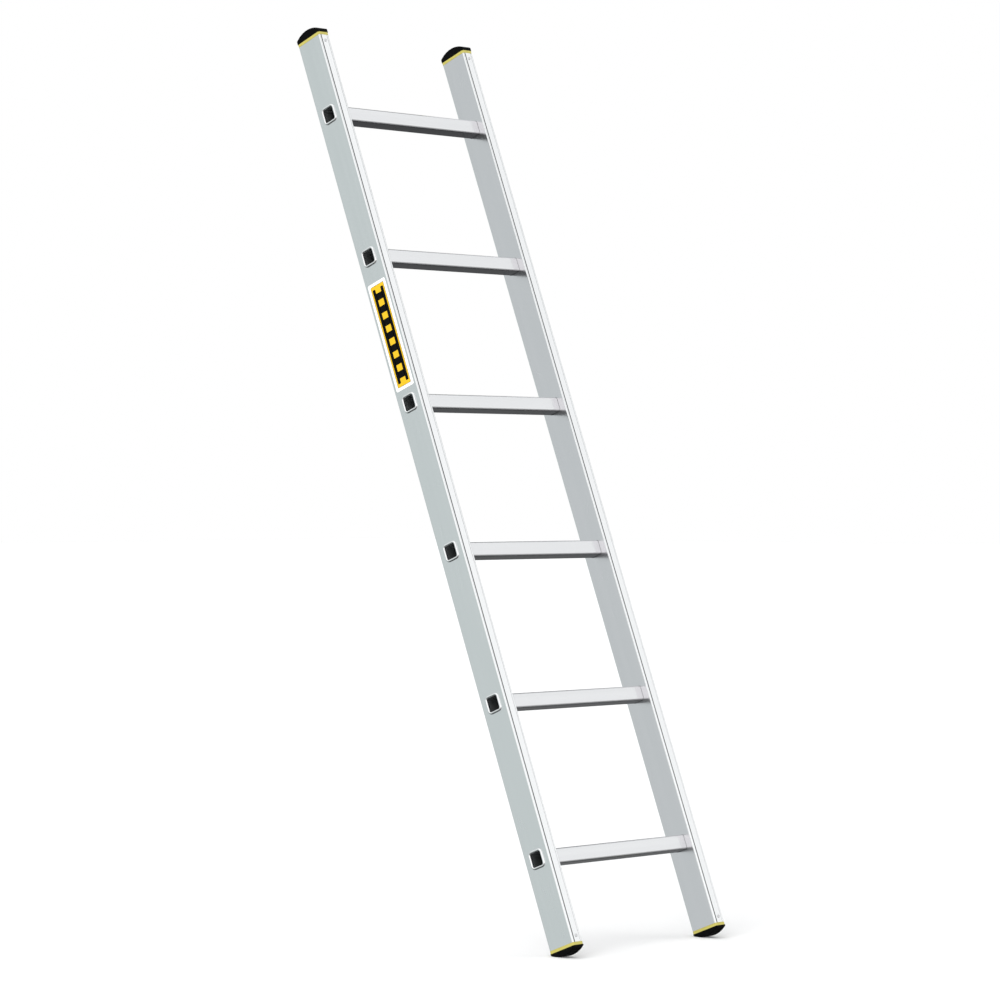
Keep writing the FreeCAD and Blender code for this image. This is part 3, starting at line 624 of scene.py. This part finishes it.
# Round the room, from behind the climber's left, by their right and the far
# side, back to the left: a wide bright front, a dimmer far side.
turn = calc(nt, "ARCTAN2", sep.outputs["Y"], sep.outputs["X"])
around = add(nt, "ShaderNodeValToRGB")
stops = [(0.00, (1.15, 1.15, 1.15)), (0.08, (1.20, 1.20, 1.20)), (0.15, (1.25, 1.25, 1.25)),
         (0.30, (1.15, 1.15, 1.15)), (0.40, (1.09, 1.09, 1.095)), (0.50, (0.80, 0.81, 0.82)),
         (0.58, (0.58, 0.59, 0.60)), (0.68, (0.56, 0.58, 0.59)), (0.80, (0.60, 0.65, 0.65)),
         (0.85, (0.622, 0.675, 0.675)), (0.905, (0.622, 0.675, 0.675)), (0.95, (1.10, 1.10, 1.10)),
         (1.00, (1.15, 1.15, 1.15))]
ramp = around.color_ramp
while len(ramp.elements) < len(stops):
    ramp.elements.new(0.5)
for e, (pos, col) in zip(ramp.elements, stops):
    e.position = pos
    e.color = (*col, 1)
feed(nt, remap(nt, turn, -math.pi, math.pi), around.inputs["Fac"])
below = calc(nt, "MULTIPLY", remap(nt, sep.outputs["Z"], -0.20, -0.31, 1.0, 0.45),
             remap(nt, sep.outputs["Z"], -0.52, -0.68, 1.0, 0.22))
value = add(nt, "ShaderNodeVectorMath", operation="SCALE")
feed(nt, around.outputs["Color"], value.inputs[0])
feed(nt, below, value.inputs["Scale"])
round_room = remap(nt, turn, -math.pi, math.pi)
far_side = calc(nt, "MULTIPLY", remap(nt, round_room, 0.60, 0.67), remap(nt, round_room, 0.84, 0.78))
far_high = calc(nt, "MULTIPLY", far_side, remap(nt, sep.outputs["Z"], 0.24, 0.38))
value = blend(nt, far_high, value.outputs[0], (1.02, 1.02, 1.02))
gap = calc(nt, "MULTIPLY", remap(nt, round_room, 0.50, 0.55), remap(nt, round_room, 0.66, 0.62))
gap = calc(nt, "MULTIPLY", gap, remap(nt, sep.outputs["Z"], 0.02, 0.10))
value = blend(nt, gap, value, (0.26, 0.265, 0.27))
beside = calc(nt, "MAXIMUM", remap(nt, round_room, 0.46, 0.43), remap(nt, round_room, 0.62, 0.66))
overhead = calc(nt, "MULTIPLY", remap(nt, sep.outputs["Z"], 0.56, 0.68),
                calc(nt, "MAXIMUM", beside, remap(nt, sep.outputs["Z"], 0.78, 0.88)))
value = blend(nt, overhead, value, (1.25, 1.25, 1.25))
facing = calc(nt, "MULTIPLY", remap(nt, round_room, 0.10, 0.18), remap(nt, round_room, 0.34, 0.28))
facing = calc(nt, "MULTIPLY", facing, remap(nt, sep.outputs["Z"], 0.46, 0.58))
value = blend(nt, facing, value, (0.76, 0.77, 0.78))
lp = add(nt, "ShaderNodeLightPath")
seen = add(nt, "ShaderNodeMix", data_type="RGBA")
feed(nt, lp.outputs["Is Camera Ray"], seen.inputs[0])
feed(nt, value, seen.inputs[6])
seen.inputs[7].default_value = (1, 1, 1, 1)
bg = add(nt, "ShaderNodeBackground")
feed(nt, seen.outputs[2], bg.inputs["Color"])
feed(nt, bg.outputs[0], wout.inputs["Surface"])

# A broad soft lamp from the climber's left, above. It lights the matt pieces
# and the floor; the metal mirrors the room instead.
sun = bpy.data.lights.new("soft_sun", "SUN")
sun.energy = 1.1
sun.angle = math.radians(50)
lamp = bpy.data.objects.new("soft_sun", sun)
lamp.rotation_mode = "QUATERNION"
lamp.rotation_quaternion = Vector((0.86, 0.16, -0.60)).to_track_quat("-Z", "Y")
lamp.visible_glossy = False
scene.collection.objects.link(lamp)

# --------------------------------------------------------------------- camera
cam_data = bpy.data.cameras.new("camera")
cam_data.sensor_width = 36.0
cam_data.lens = 3590.7 * 36.0 / 1000.0
cam_data.clip_end = 200
cam = bpy.data.objects.new("camera", cam_data)
scene.collection.objects.link(cam)
look = Vector((0.729484, 0.683996, -0.001635)).normalized()
right = Vector((0.683997, -0.729485, -0.000429)).normalized()
upv = right.cross(look)
R = Matrix((right, upv, -look)).transposed().to_4x4()
cam.matrix_world = Matrix.Translation(Vector((-4.70473, -4.08212, 0.76660)) + BASE * 0.001) @ R
scene.camera = cam
